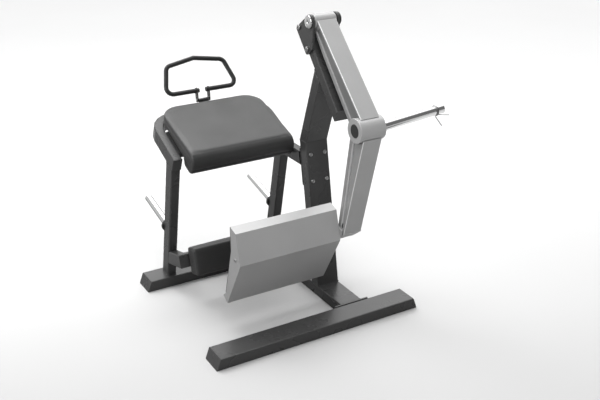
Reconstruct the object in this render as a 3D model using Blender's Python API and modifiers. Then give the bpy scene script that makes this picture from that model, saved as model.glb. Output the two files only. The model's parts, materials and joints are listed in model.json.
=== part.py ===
"""Plate-loaded glute machine: a swinging kick arm on a steel frame with a torso pad.

Units are metres, +Z is up. The user lies over the torso pad facing +Y and pushes the
kick plate towards -Y. The machine is laid out from the left end of its front foot beam,
and then moved as a whole so that the origin is under the middle of its bounding box.
"""
import math

import bmesh
import bpy
from mathutils import Matrix, Vector

# Clearances
seat_gap = 0.0003            # between welded or bolted faces
bolt_clearance = 0.0005      # round a bolt in its hole
drill_overrun = 0.010        # a drill starts and stops this far outside its work

# Foot beams and main rail
beam_length = 1.200
beam_depth = 0.133
beam_height = 0.0625
beam_end_slant = 0.0235      # how far the top edge stands back at each end
rear_beam_y = 0.889
base_wall = 0.004
base_corner = 0.006
end_cap_thickness = 0.005
flange_width = 0.208
flange_thickness = 0.0115
flange_height = 0.063
flange_ground_gap = 0.002
flange_edge = 0.002
flange_bolt_inset = 0.013
flange_bolt_head = 0.0081
flange_bolt_shank = 0.0045

# Mast and head tube
mast_x = 0.865
mast_width = 0.1335
mast_depth = 0.069
mast_wall = 0.004
mast_corner = 0.005
lower_mast_y = 0.372         # front face at the rail's top
lower_mast_lean = 9.6
mast_joint_height = 0.8656
upper_mast_lean = 19.6
pivot_y = 0.4594
pivot_height = 1.5220
head_angle = 49.5
head_depth = 0.0576
head_below_pivot = 0.0984    # pivot axis to the head tube's centre line
head_upper_reach = 0.042     # past the pivot, along the head tube
head_lower_reach = 0.478
head_end_slant = 26.0
head_cap_thickness = 0.004
mast_bolt_spread = 0.0864
mast_bolt_upper = 0.0725     # below the mast joint
mast_bolt_pitch = 0.147
mast_bolt_head = 0.0108
mast_bolt_shank = 0.006

# Bracket plates and pivot
bracket_thickness = 0.012
bracket_boss = 0.036
bracket_low_reach = 0.119    # below the pivot, along the head tube
bracket_overhang = 0.006     # past the head tube's back
bracket_top_overhang = 0.002
bracket_corners = (0.012, 0.016, 0.010)
bracket_bolt_back = 0.003    # behind the head tube's centre line
bracket_front_corner = 0.068
bracket_bolt_low = -0.0974
bracket_bolt_high = 0.0290
pivot_cap_radius = 0.0336
pivot_cap_length = 0.0085
pivot_cap_edge = 0.0025
pivot_socket_radius = 0.010
pivot_shaft_radius = 0.0125
pivot_nut_radius = 0.0336
pivot_nut_length = 0.012
turned_edge = 0.002          # small bevel on turned ends
barrel_radius = 0.0365
running_radial = 0.0006      # between the pivot bolt and the barrel's bore
barrel_inset = 0.0055        # shorter than the arm's gap between the plates, each side
bracket_bolt_head = 0.0130
bracket_bolt_shank = 0.0065
bumper_radius = 0.018
bumper_edge = 0.003
bumper_position = 0.430      # down the head tube from the pivot

# Swing arm
arm_width = 0.108
arm_wall = 0.004
arm_corner = 0.003
arm_back_corner = 0.005
arm_inner_corner = 0.0012
arm_face_inset = 0.002       # the arm's front face lies just inside barrel and sleeve
upper_arm_length = 0.6112
upper_arm_angle = 46.98
upper_arm_top = 0.0240       # depth behind the line from pivot to elbow, at the pivot
upper_arm_root = 0.0400      # the same at the knee
upper_arm_knee = 0.178       # distance of the knee from the pivot
upper_arm_back = 0.0500      # and at the elbow
sleeve_radius = 0.0624
sleeve_length = 0.146
sleeve_bore = 0.0345
sleeve_rim = 0.006
sleeve_floor = 0.014
sleeve_cap_depth = 0.008
lower_arm_lean = 15.5
lower_arm_back = 0.0560      # back face behind the elbow axis, near the sleeve
lower_arm_end_depth = 0.0550
lower_arm_length = 0.604     # elbow axis to the front corner of the lower end
lower_end_slant = 53.0
arm_cap_thickness = 0.004
load_horn_radius = 0.0230
load_horn_length = 0.386
load_horn_drop = 0.0067      # its root stands below the elbow axis
load_horn_rise = 5.1
horn_washer_radius = 0.0295
horn_washer_length = 0.009
clip_wire = 0.0022
clip_from_tip = 0.044
clip_turns = 2
clip_prong = 0.058
clip_grip_gap = 0.0004

# Kick plate, all places from its front bend
kick_left = 0.2208
kick_right = 0.8016
kick_bend_down = 0.644       # from the elbow axis, along the lower arm
kick_bend_front = 0.0546
kick_sheet = 0.003
kick_top_rise = 0.1644
kick_top_lean = 14.8
kick_low_drop = 0.3278
kick_low_lean = 29.6
kick_top_flange = 0.0594
kick_low_flange = 0.0533
kick_flange_rise = 16.4
kick_tread_drop = 0.1332
kick_tread_slope = 0.282
kick_tread_thickness = 0.004
tread_lift = 0.0004
kick_mount_down = 0.612
kick_mount_front = 0.027
kick_mount_height = 0.052
kick_mount_depth = 0.044
kick_bolt_behind = 0.054
kick_bolt_above = 0.0114
kick_bolt_head = 0.0105
kick_bolt_shank = 0.005
kick_bolt_grip = 0.018

# Seat frame and legs
seat_x = 0.488
seat_width = 0.712
tube_width = 0.052
tube_height = 0.075
tube_wall = 0.003
tube_corner = 0.005
seat_slope = 22.5
seat_front_y = 0.7321        # top front edge of the frame's free ends
seat_front_height = 0.8239
seat_depth = 0.366           # along the slope, front to back
seat_corner_radius = 0.126
leg_lean = 12.53
leg_foot_y = 0.9160          # front face at the beam's top
seat_cap_thickness = 0.005
seat_cap_edge = 0.001
link_tube_top = 0.800
link_flange_height = 0.205
link_flange_thickness = 0.008
link_flange_edge = 0.0015

# Storage horns
store_horn_radius = 0.0208
store_horn_length = 0.290
store_horn_height = 0.3655   # where its axis meets the leg's back face
store_washer_radius = 0.0324
store_washer_length = 0.009

# Shin pad and its bracket
shin_tilt = 15.0
shin_front_y = 0.7224        # middle of the cross tube's front face
shin_height = 0.2323
shin_board = 0.009
shin_board_inset = 0.020
shin_pad_width = 0.606
shin_pad_height = 0.150
shin_pad_thickness = 0.090
shin_pad_edge = 0.012
shin_pad_hem = 0.006

# Torso pad
torso_pad_width = 0.594
torso_pad_nose = 0.121       # how far it reaches ahead of the frame
torso_pad_back = 0.355       # and how far up the slope
torso_board = 0.0090
torso_board_inset = 0.020
torso_board_corner = 0.010
torso_board_clearance = 0.006
torso_pad_back_top = 0.049
torso_pad_front_top = 0.0917
torso_pad_corner = 0.100
torso_pad_edge = 0.008
torso_pad_hem = 0.004
torso_nose_radius = 0.048
torso_nose_foot = 0.106
torso_nose_foot_radius = 0.034
torso_nose_heel = 0.024
torso_nose_drop = 0.031
pad_support_width = 0.180
pad_support_thickness = 0.006
pad_support_lip = 0.030
pad_support_start = 0.040    # behind the frame's front edge

# Handle
handle_tube_radius = 0.0126
handle_half_base = 0.2177
handle_half_top = 0.1722
handle_rise = 0.1594
handle_peak = 0.0301
handle_tilt = 56.15
handle_end = 0.021           # from the middle to each end of the tube
handle_bend = 0.036
lug_spread = 0.036
lug_thickness = 0.006
lug_half_width = 0.0165
lug_foot_half_width = 0.0150
lug_length = 0.0512          # from the cross bar to the handle tube
lug_rise = 84.3
cross_bar_out = 0.0533       # behind the seat frame, along its slope
cross_bar_radius = 0.0075
handle_plate_thickness = 0.0038
handle_plate_width = 0.060
handle_plate_grip = 0.040    # how far the plate lies on the frame tube
handle_plate_overhang = 0.004
cross_bar_end = 0.0025       # past each lug

X = Vector((1, 0, 0))
Y = Vector((0, 1, 0))
Z = Vector((0, 0, 1))


def yz(y, z):
    return Vector((0.0, y, z))


def turn(degrees):
    """Direction in the side view, measured from +Y towards +Z."""
    a = math.radians(degrees)
    return yz(math.cos(a), math.sin(a))


def clear_scene():
    for item in list(bpy.data.objects):
        bpy.data.objects.remove(item, do_unlink=True)


clear_scene()
machine = bpy.data.collections.new("glute_machine")
bpy.context.scene.collection.children.link(machine)
cutters = bpy.data.collections.new("cutters")
bpy.context.scene.collection.children.link(cutters)

finishes = {
    "frame": ((0.055, 0.056, 0.060), 0.42, 0.55),
    "silver": ((0.60, 0.60, 0.61), 0.36, 0.75),
    "chrome": ((0.86, 0.87, 0.88), 0.08, 1.0),
    "steel": ((0.55, 0.55, 0.56), 0.28, 1.0),
    "black": ((0.020, 0.020, 0.021), 0.50, 0.0),
    "rubber": ((0.025, 0.025, 0.026), 0.80, 0.0),
    "handle": ((0.030, 0.030, 0.032), 0.45, 0.30),
    "upholstery": ((0.045, 0.045, 0.048), 0.55, 0.0),
    "board": ((0.030, 0.030, 0.030), 0.70, 0.0),
}


def own_material(name, finish):
    colour, roughness, metallic = finishes[finish]
    material = bpy.data.materials.new(name)
    material.use_nodes = True
    shader = material.node_tree.nodes["Principled BSDF"]
    shader.inputs["Base Color"].default_value = (*colour, 1.0)
    shader.inputs["Roughness"].default_value = roughness
    shader.inputs["Metallic"].default_value = metallic
    material.diffuse_color = (*colour, 1.0)
    return material


pivot_empty = bpy.data.objects.new("arm_pivot", None)
frame_empty = bpy.data.objects.new("machine_frame", None)
clip_empty = bpy.data.objects.new("clip_slide", None)
for empty in (frame_empty, pivot_empty, clip_empty):
    machine.objects.link(empty)
pivot_empty.parent = frame_empty
clip_empty.parent = pivot_empty


def add(name, mesh, finish, parent=frame_empty, smooth=None):
    """An object whose mesh is in machine coordinates, hung on its parent's place."""
    item = bpy.data.objects.new(name, mesh)
    machine.objects.link(item)
    if finish:
        mesh.materials.clear()
        mesh.materials.append(own_material(name, finish))
    item.parent = parent
    if smooth:
        mesh.shade_smooth()
        mesh.set_sharp_from_angle(angle=math.radians(smooth))
    return item


def mesh_from(bm, name):
    bmesh.ops.recalc_face_normals(bm, faces=bm.faces[:])
    if bm.calc_volume(signed=True) < 0:
        bmesh.ops.reverse_faces(bm, faces=bm.faces[:])
    mesh = bpy.data.meshes.new(name)
    bm.to_mesh(mesh)
    bm.free()
    return mesh


def world_place(item):
    """Where an item's parent stands before the machine is moved to its origin."""
    place = Vector((0, 0, 0))
    up = item.parent
    while up:
        place += up.location
        up = up.parent
    return place


def settle(item):
    """Moves mesh data given in machine coordinates into the parent's coordinates."""
    item.data.transform(Matrix.Translation(-world_place(item)))
    return item


def rounded_section(width, depth_front, depth_back, front_radius, back_radius, steps=2):
    """Points (across, ahead) of a rectangle with rounded corners, counter-clockwise."""
    w = width / 2
    corners = [
        (w - front_radius, depth_front - front_radius, front_radius, 0),
        (-w + front_radius, depth_front - front_radius, front_radius, 90),
        (-w + back_radius, -depth_back + back_radius, back_radius, 180),
        (w - back_radius, -depth_back + back_radius, back_radius, 270),
    ]
    points = []
    for across, ahead, radius, start in corners:
        for step in range(steps + 1):
            a = math.radians(start + 90 * step / steps)
            points.append((across + radius * math.cos(a), ahead + radius * math.sin(a)))
    return points


def ring(centre, axis, across, ahead, section, end_normal=None):
    """The section's points round the centre, run along the axis to the end plane."""
    normal = end_normal or axis
    points = []
    for u, t in section:
        p = centre + across * u + ahead * t
        points.append(p + axis * ((centre - p).dot(normal) / axis.dot(normal)))
    return points


def loft_solid(ring_a, ring_b):
    bm = bmesh.new()
    bmesh.ops.create_circle(bm, segments=len(ring_a), radius=1.0, cap_ends=True)
    bm.verts.ensure_lookup_table()
    for vert, place in zip(bm.verts[:], ring_a):
        vert.co = place
    made = bmesh.ops.extrude_face_region(bm, geom=bm.faces[:], use_keep_orig=True)
    new = [g for g in made["geom"] if isinstance(g, bmesh.types.BMVert)]
    first = {tuple(round(c, 6) for c in p): i for i, p in enumerate(ring_a)}
    moved = []
    for vert in new:
        moved.append((vert, first[tuple(round(c, 6) for c in vert.co)]))
    for vert, index in moved:
        vert.co = ring_b[index]
    return bm


def prism(name, ring_a, ring_b, finish, parent=frame_empty, smooth=35):
    bm = loft_solid(ring_a, ring_b)
    return settle(add(name, mesh_from(bm, name), finish, parent, smooth))


def hollow(width, front, back, corner, wall, steps=2):
    """The outer and inner sections of a box tube."""
    inside = max(corner - wall, 0.001)
    return (rounded_section(width, front, back, corner, corner, steps),
            rounded_section(width - 2 * wall, front - wall, back - wall, inside, inside,
                            steps))


def rings(centre, axis, across, ahead, sections, end_normal=None):
    return [ring(centre, axis, across, ahead, section, end_normal)
            for section in sections]


def tube(name, rings_a, rings_b, finish, parent=frame_empty):
    """A straight hollow member, open at both ends."""
    return shell(name, [[a, b] for a, b in zip(rings_a, rings_b)], finish, parent)


def shell(name, walls, finish, parent=frame_empty):
    """An outer and an inner row of rings, joined at both ends."""
    bm = bmesh.new()
    shells = [[[bm.verts.new(p) for p in loop] for loop in row] for row in walls]
    size = len(shells[0][0])
    pairs = [pair for row in shells for pair in zip(row, row[1:])]
    pairs += [(shells[0][end], shells[1][end]) for end in (0, -1)]
    for a, b in pairs:
        for k in range(size):
            bm.faces.new((a[k], a[(k + 1) % size], b[(k + 1) % size], b[k]))
    return settle(add(name, mesh_from(bm, name), finish, parent, 35))


def slab(name, outline, low, high, finish, parent=frame_empty, bevel=0.0):
    """A flat plate: an outline in the side view, from one X to another."""
    ring_a = [Vector((low, p.y, p.z)) for p in outline]
    ring_b = [Vector((high, p.y, p.z)) for p in outline]
    item = prism(name, ring_a, ring_b, finish, parent)
    if bevel:
        soften(item, bevel)
    return item


def soften(item, width, segments=1, angle=50):
    edge = item.modifiers.new("soft_edges", "BEVEL")
    edge.width = width
    edge.segments = segments
    edge.limit_method = "ANGLE"
    edge.angle_limit = math.radians(angle)


def block(name, centre, axes, size, finish, parent=frame_empty, bevel=0.0):
    bm = bmesh.new()
    bmesh.ops.create_cube(bm, size=1.0)
    for vert in bm.verts:
        place = centre.copy()
        for axis, length, part in zip(axes, size, vert.co[:]):
            place += axis * (length * part)
        vert.co = place
    item = settle(add(name, mesh_from(bm, name), finish, parent))
    if bevel:
        soften(item, bevel)
    return item


def turned(name, profile, base, axis, finish, parent=frame_empty, steps=24):
    """A turned piece: (radius, height) points run down its outer side, top to bottom.

    A profile that starts off the axis is closed, back to its first point.
    """
    edges = [(i, i + 1) for i in range(len(profile) - 1)]
    if profile[0][0] > 0:
        edges.append((len(profile) - 1, 0))
    mesh = bpy.data.meshes.new(name)
    mesh.from_pydata([(r, 0.0, h) for r, h in profile], edges, [])
    item = add(name, mesh, finish, parent)
    spin = item.modifiers.new("spin", "SCREW")
    spin.steps = steps
    spin.render_steps = steps
    spin.use_merge_vertices = True
    spin.merge_threshold = 0.00005
    spin.use_smooth_shade = True
    place = Matrix.Translation(base - world_place(item))
    item.matrix_local = place @ Z.rotation_difference(axis).to_matrix().to_4x4()
    return item


def ring_profile(outer, inner, low, high, edge):
    """A hollow profile for turned(), down the outside and back up the bore."""
    return [(inner, high), (outer - edge, high), (outer, high - edge),
            (outer, low + edge), (outer - edge, low), (inner, low)]


def rod_profile(radius, low, high, edge):
    return [(0, high), (radius - edge, high), (radius, high - edge),
            (radius, low + edge), (radius - edge, low), (0, low)]


def round_bolt(name, seat, axis, head, shank, grip, finish="steel", parent=frame_empty):
    """A low round head on a seat, its shank running back through the hole."""
    tall = head * 0.45
    profile = [(0, tall), (head * 0.55, tall), (head * 0.88, tall * 0.72),
               (head, tall * 0.30), (head, seat_gap), (shank, seat_gap),
               (shank, -grip), (0, -grip)]
    return turned(name, profile, seat, axis, finish, parent, 20)


def bore(item, base, axis, radius, length, steps=24):
    """Drills a round hole through an item, from the base along the axis."""
    bm = bmesh.new()
    bmesh.ops.create_cone(bm, cap_ends=True, segments=steps, radius1=radius,
                          radius2=radius, depth=length)
    mesh = bpy.data.meshes.new(item.name + "_hole")
    bm.to_mesh(mesh)
    bm.free()
    place = Matrix.Translation(base + axis * (length / 2))
    mesh.transform(place @ Z.rotation_difference(axis).to_matrix().to_4x4())
    cutter(item, mesh)


def cutter(item, mesh):
    """Takes the space of a closed mesh, given in machine coordinates, out of an item."""
    tool = bpy.data.objects.new(mesh.name, mesh)
    cutters.objects.link(tool)
    tool.hide_render = True
    tool.display_type = "WIRE"
    tool.parent = item.parent
    mesh.transform(Matrix.Translation(-world_place(item)))
    cut = item.modifiers.new("cut", "BOOLEAN")
    cut.operation = "DIFFERENCE"
    cut.solver = "EXACT"
    cut.object = tool


def swept(name, points, sections, up, finish, first=None, last=None,
          parent=frame_empty):
    """A hollow member of one section along a flat path, mitred at its points."""
    ahead = [(b - a).normalized() for a, b in zip(points, points[1:])]
    walls = []
    for section in sections:
        row = []
        for i, point in enumerate(points):
            before = ahead[max(i - 1, 0)]
            after = ahead[min(i, len(ahead) - 1)]
            normal = (before + after).normalized()
            if i == 0 and first:
                normal = first
            if i == len(points) - 1 and last:
                normal = last
            row.append(ring(point, before, before.cross(up).normalized(), up, section,
                            normal))
        walls.append(row)
    return shell(name, walls, finish, parent)


def rounded_path(corners, radii, steps=5):
    """A path through the corners, each one rounded to its radius."""
    path = [corners[0]]
    for before, at, after, radius in zip(corners, corners[1:], corners[2:], radii):
        a = (before - at).normalized()
        b = (after - at).normalized()
        half = a.angle(b) / 2
        middle = at + (a + b).normalized() * (radius / math.sin(half))
        start = at + a * (radius / math.tan(half)) - middle
        stop = at + b * (radius / math.tan(half)) - middle
        sweep = start.angle(stop)
        for step in range(steps + 1):
            part = sweep * step / steps
            spot = start * math.sin(sweep - part) + stop * math.sin(part)
            path.append(middle + spot / math.sin(sweep))
    return path + [corners[-1]]


def as_mesh(item):
    """A curve as a welded mesh, so that it can be cut."""
    bpy.context.view_layer.update()
    shown = item.evaluated_get(bpy.context.evaluated_depsgraph_get())
    mesh = bpy.data.meshes.new_from_object(shown)
    bm = bmesh.new()
    bm.from_mesh(mesh)
    bmesh.ops.remove_doubles(bm, verts=bm.verts[:], dist=0.00001)
    bm.to_mesh(mesh)
    bm.free()
    name = item.name
    parent = item.parent
    place = item.matrix_local.copy()
    bpy.data.objects.remove(item, do_unlink=True)
    solid = bpy.data.objects.new(name, mesh)
    machine.objects.link(solid)
    solid.parent = parent
    solid.matrix_local = place
    mesh.shade_smooth()
    mesh.set_sharp_from_angle(angle=math.radians(50))
    return solid


def curve_tube(name, points, radius, finish, parent=frame_empty, sides=2):
    curve = bpy.data.curves.new(name, "CURVE")
    curve.dimensions = "3D"
    curve.bevel_depth = radius
    curve.bevel_resolution = sides
    curve.use_fill_caps = True
    spline = curve.splines.new("POLY")
    spline.points.add(len(points) - 1)
    spline.use_smooth = True
    curve.materials.append(own_material(name, finish))
    item = bpy.data.objects.new(name, curve)
    machine.objects.link(item)
    item.parent = parent
    shift = world_place(item)
    for target, place in zip(spline.points, points):
        target.co = (*(place - shift), 1.0)
    return as_mesh(item)


def circle_section(radius, steps):
    return [(radius * math.cos(2 * math.pi * i / steps),
             radius * math.sin(2 * math.pi * i / steps)) for i in range(steps)]


# Foot beams: box tubes with slanted ends, each closed by a thin cap
base_sections = hollow(beam_depth, beam_height / 2, beam_height / 2, base_corner, base_wall)


def foot_beam(name, front):
    y = front + beam_depth / 2
    tall = Vector((beam_end_slant, 0, beam_height)).normalized()
    left_normal = Vector((tall.z, 0, -tall.x))
    right_normal = Vector((tall.z, 0, tall.x))
    left = Vector((beam_end_slant / 2, y, beam_height / 2))
    right = Vector((beam_length - beam_end_slant / 2, y, beam_height / 2))
    cap = X * end_cap_thickness
    gap = X * seat_gap

    def end(at, normal):
        return rings(at, X, Y, Z, base_sections, normal)

    tube(name + "_beam", end(left + cap + gap, left_normal),
         end(right - cap - gap, right_normal), "frame")
    prism(name + "_cap_left", end(left, left_normal)[0],
          end(left + cap, left_normal)[0], "frame")
    prism(name + "_cap_right", end(right - cap, right_normal)[0],
          end(right, right_normal)[0], "frame")


foot_beam("front", 0.0)
foot_beam("rear", rear_beam_y)

flange_back = beam_depth + seat_gap + flange_thickness
rail_front = flange_back + seat_gap
rail_back = rear_beam_y - seat_gap
rail_middle = Vector((mast_x, 0, beam_height / 2))
rail_sections = hollow(mast_width, beam_height / 2, beam_height / 2, base_corner, base_wall)
tube("main_rail", rings(rail_middle + Y * rail_front, Y, X, Z, rail_sections),
     rings(rail_middle + Y * rail_back, Y, X, Z, rail_sections), "frame")
flange_middle = Vector((mast_x, flange_back - flange_thickness / 2,
                        flange_ground_gap + flange_height / 2))
front_flange = block("front_flange", flange_middle, (X, Y, Z),
                     (flange_width, flange_thickness, flange_height), "frame",
                     bevel=flange_edge)
for side, where in (("left", -1), ("right", 1)):
    ear = flange_width / 2 - flange_bolt_inset
    seat = Vector((mast_x + where * ear, flange_back, flange_middle.z))
    round_bolt("flange_bolt_" + side, seat, Y, flange_bolt_head, flange_bolt_shank,
               flange_thickness - seat_gap)
    bore(front_flange, seat - Y * (flange_thickness + drill_overrun), Y,
         flange_bolt_shank + bolt_clearance, flange_thickness + 2 * drill_overrun, 16)

# Mast: the lower part leans back, the upper part leans forward to the head tube
lower_axis = turn(90 - lower_mast_lean)
upper_axis = turn(90 + upper_mast_lean)
lower_across = mast_depth / math.cos(math.radians(lower_mast_lean))
mast_foot = Vector((mast_x, lower_mast_y + lower_across / 2, beam_height + seat_gap))
joint_rise = (mast_joint_height - mast_foot.z) / lower_axis.z
mast_joint = mast_foot + lower_axis * joint_rise
lower_normal = turn(-lower_mast_lean)
upper_normal = turn(upper_mast_lean)
lower_sections = hollow(mast_width, mast_depth / 2, mast_depth / 2, mast_corner, mast_wall)
upper_depth = lower_across * math.cos(math.radians(upper_mast_lean))
upper_sections = hollow(mast_width, upper_depth / 2, upper_depth / 2, mast_corner, mast_wall)
lower_mast = tube("lower_mast",
                  rings(mast_foot, lower_axis, X, -lower_normal, lower_sections, Z),
                  rings(mast_joint, lower_axis, X, -lower_normal, lower_sections, Z),
                  "frame")

# Head tube: runs down from behind the pivot, its back resting on the mast's top
pivot = Vector((mast_x, pivot_y, pivot_height))
head_axis = turn(head_angle)
head_front = turn(head_angle + 90)
head_middle = pivot - head_front * head_below_pivot
head_back = head_middle - head_front * (head_depth / 2)
head_sections = hollow(mast_width, head_depth / 2, head_depth / 2, mast_corner, mast_wall)
head_top = head_middle + head_axis * head_upper_reach
head_end = head_middle - head_axis * head_lower_reach
end_normal = turn(head_angle - head_end_slant)
cap_along = head_axis * (1 / head_axis.dot(end_normal))
cap_shift = cap_along * (head_cap_thickness + seat_gap)
head_tube = tube("head_tube",
                 rings(head_end + cap_shift, head_axis, X, head_front, head_sections,
                       end_normal),
                 rings(head_top, head_axis, X, head_front, head_sections), "frame")
prism("head_tube_cap",
      ring(head_end, head_axis, X, head_front, head_sections[0], end_normal),
      ring(head_end + cap_along * head_cap_thickness, head_axis, X, head_front,
           head_sections[0], end_normal), "frame")

upper_start = mast_joint + Z * seat_gap
reach = (head_back - head_front * seat_gap - upper_start).dot(head_front)
upper_end = upper_start + upper_axis * (reach / upper_axis.dot(head_front))
tube("upper_mast", rings(upper_start, upper_axis, X, -upper_normal, upper_sections, Z),
     rings(upper_end, upper_axis, X, -upper_normal, upper_sections, head_front), "frame")

# Bracket plates: they grip the head tube's sides and carry the pivot
def arc(middle, radius, start, stop, steps):
    return [middle + turn(start + (stop - start) * i / steps) * radius
            for i in range(steps + 1)]


def head_point(along, ahead):
    return pivot + head_axis * along + head_front * (ahead - head_below_pivot)


plate_low = -bracket_low_reach
plate_high = head_upper_reach + bracket_top_overhang
plate_back = -head_depth / 2 - bracket_overhang
plate_front = -head_depth / 2 + bracket_front_corner
bolt_low = head_point(bracket_bolt_low, -bracket_bolt_back)
bolt_high = head_point(bracket_bolt_high, -bracket_bolt_back)
boss = arc(pivot, bracket_boss, head_angle - 15, head_angle + 150, 8)
plate_outline = boss[:-1] + rounded_path(
    [boss[-1], head_point(plate_low, plate_front), head_point(plate_low, plate_back),
     head_point(plate_high, plate_back), boss[0]], bracket_corners, 3)[:-1]
plates = []
for side, where in (("left", -1), ("right", 1)):
    inner = mast_x + where * (mast_width / 2 + seat_gap)
    outer = inner + where * bracket_thickness
    plate = slab("bracket_plate_" + side, plate_outline, min(inner, outer),
                 max(inner, outer), "frame")
    plates.append(plate)
plate_span = mast_width + 2 * (seat_gap + bracket_thickness)
plate_left = pivot.x - plate_span / 2
for name, place in (("bracket_bolt_upper", bolt_high), ("bracket_bolt_lower", bolt_low)):
    start = Vector((plate_left, place.y, place.z))
    head_tall = bracket_bolt_head * 0.7
    length = plate_span + 2 * seat_gap
    profile = [(0, head_tall), (bracket_bolt_head * 0.9, head_tall),
               (bracket_bolt_head, head_tall * 0.8), (bracket_bolt_head, seat_gap),
               (bracket_bolt_shank, seat_gap), (bracket_bolt_shank, seat_gap - length),
               (bracket_bolt_head, seat_gap - length),
               (bracket_bolt_head, seat_gap - length - head_tall),
               (0, seat_gap - length - head_tall)]
    turned(name, profile, start, -X, "steel", steps=20)
    for item in plates + [head_tube]:
        bore(item, start - X * drill_overrun, X, bracket_bolt_shank + bolt_clearance,
             plate_span + 2 * drill_overrun, 20)

# Pivot: a long bolt with a bright cap on the left and a dark nut on the right
left_face = Vector((plate_left, pivot.y, pivot.z))
shaft = plate_span + seat_gap
cap_shoulder = pivot_cap_length - pivot_cap_edge
pivot_profile = [(0, cap_shoulder), (pivot_socket_radius, cap_shoulder),
                 (pivot_socket_radius, pivot_cap_length),
                 (pivot_cap_radius - pivot_cap_edge, pivot_cap_length),
                 (pivot_cap_radius, cap_shoulder),
                 (pivot_cap_radius, seat_gap), (pivot_shaft_radius, seat_gap),
                 (pivot_shaft_radius, -shaft), (0, -shaft)]
turned("pivot_bolt", pivot_profile, left_face, -X, "chrome", steps=28)
right_face = left_face + X * plate_span
turned("pivot_nut", [(0, pivot_nut_length),
                     (pivot_nut_radius - turned_edge, pivot_nut_length),
                     (pivot_nut_radius, pivot_nut_length - turned_edge),
                     (pivot_nut_radius, 2 * seat_gap), (0, 2 * seat_gap)],
       right_face, X, "black", steps=28)
for item in plates:
    bore(item, left_face - X * drill_overrun, X, pivot_shaft_radius + bolt_clearance,
         plate_span + 2 * drill_overrun, 24)

# Stop bumper: a rubber foot on the head tube that the arm rests against
bumper_seat = pivot - head_axis * bumper_position
bumper_seat -= head_front * (head_below_pivot - head_depth / 2 - seat_gap)

# Seat frame: a sloped U of box tube, open towards the front
slope = turn(seat_slope)
slope_up = turn(seat_slope + 90)
seat_front = Vector((seat_x, seat_front_y, seat_front_height))
side_x = seat_width / 2 - tube_width / 2
seat_sections = hollow(tube_width, tube_height / 2, tube_height / 2, tube_corner,
                       tube_wall, 1)
seat_level = seat_front - slope_up * (tube_height / 2)
seat_back = slope * (seat_depth - tube_width / 2)
seat_corners = [seat_level - X * side_x, seat_level - X * side_x + seat_back,
                seat_level + X * side_x + seat_back, seat_level + X * side_x]
bend = seat_corner_radius - tube_width / 2
swept("seat_frame", rounded_path(seat_corners, (bend, bend)), seat_sections, slope_up,
      "frame")
for side, where in (("left", -1), ("right", 1)):
    cap_middle = seat_level + X * where * side_x
    cap_middle -= slope * (seat_gap + seat_cap_thickness / 2)
    block("seat_cap_" + side, cap_middle, (X, slope, slope_up),
          (tube_width, seat_cap_thickness, tube_height), "frame", bevel=seat_cap_edge)

# Legs: from the rear foot beam up to the underside of the seat frame
leg_axis = turn(90 + leg_lean)
leg_back = turn(leg_lean)
leg_across = tube_height / math.cos(math.radians(leg_lean))
leg_foot = yz(leg_foot_y + leg_across / 2, beam_height + seat_gap)
under = seat_front - slope_up * (tube_height + seat_gap)
leg_rise = (under - leg_foot).dot(slope_up) / leg_axis.dot(slope_up)
leg_top = leg_foot + leg_axis * leg_rise
for side, where in (("left", -1), ("right", 1)):
    shift = X * (seat_x + where * side_x)
    top = leg_top + shift - X * leg_top.x
    tube(side + "_leg", rings(leg_foot + shift, leg_axis, X, leg_back, seat_sections, Z),
         rings(top, leg_axis, X, leg_back, seat_sections, slope_up), "frame")

# Seat link: a tube from the mast's back to the right end of the seat frame
mast_back = mast_foot + lower_normal * (mast_depth / 2 + seat_gap)
link_low = link_tube_top - tube_height
link_x = seat_x + side_x
leg_front_at_low = leg_foot_y - (link_low - beam_height) * math.tan(math.radians(leg_lean))
cap_front = seat_front - slope * (seat_cap_thickness + 2 * seat_gap)
drop_to_low = (cap_front.z - link_low) * math.tan(math.radians(seat_slope))
over_leg = max(0.0, cap_front.y + drop_to_low - leg_front_at_low + 2 * seat_gap)
link_end = cap_front - Y * over_leg
link_middle_z = link_tube_top - tube_height / 2
link_axis_point = Vector((link_x, 0, link_middle_z))


def level_point(plane_point, normal):
    """Where the link tube's level axis crosses a plane."""
    away = (plane_point - link_axis_point).dot(normal)
    return link_axis_point + Y * (away / normal.y)


flange_face = mast_back + lower_normal * (link_flange_thickness + seat_gap)
link_start = level_point(flange_face, lower_normal)
link_stop = level_point(link_end, slope)
tube("seat_link_tube", rings(link_start, Y, X, Z, seat_sections, lower_normal),
     rings(link_stop, Y, X, Z, seat_sections, slope), "frame")
flange_centre = mast_foot + lower_axis * (joint_rise - mast_bolt_upper - mast_bolt_pitch / 2)
flange_centre += lower_normal * (mast_depth / 2 + seat_gap + link_flange_thickness / 2)
flange = block("seat_link_flange", flange_centre, (X, lower_normal, lower_axis),
               (mast_width, link_flange_thickness, link_flange_height), "frame",
               bevel=link_flange_edge)
number = 0
for down in (mast_bolt_upper, mast_bolt_upper + mast_bolt_pitch):
    for where in (-1, 1):
        number += 1
        seat = mast_foot + lower_axis * (joint_rise - down)
        seat += X * where * mast_bolt_spread / 2 - lower_normal * (mast_depth / 2)
        deep = mast_depth + link_flange_thickness
        round_bolt("mast_bolt_%d" % number, seat, -lower_normal, mast_bolt_head,
                   mast_bolt_shank, deep)
        for item in (lower_mast, flange):
            bore(item, seat - lower_normal * drill_overrun, lower_normal,
                 mast_bolt_shank + bolt_clearance, deep + 2 * drill_overrun, 20)

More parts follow.
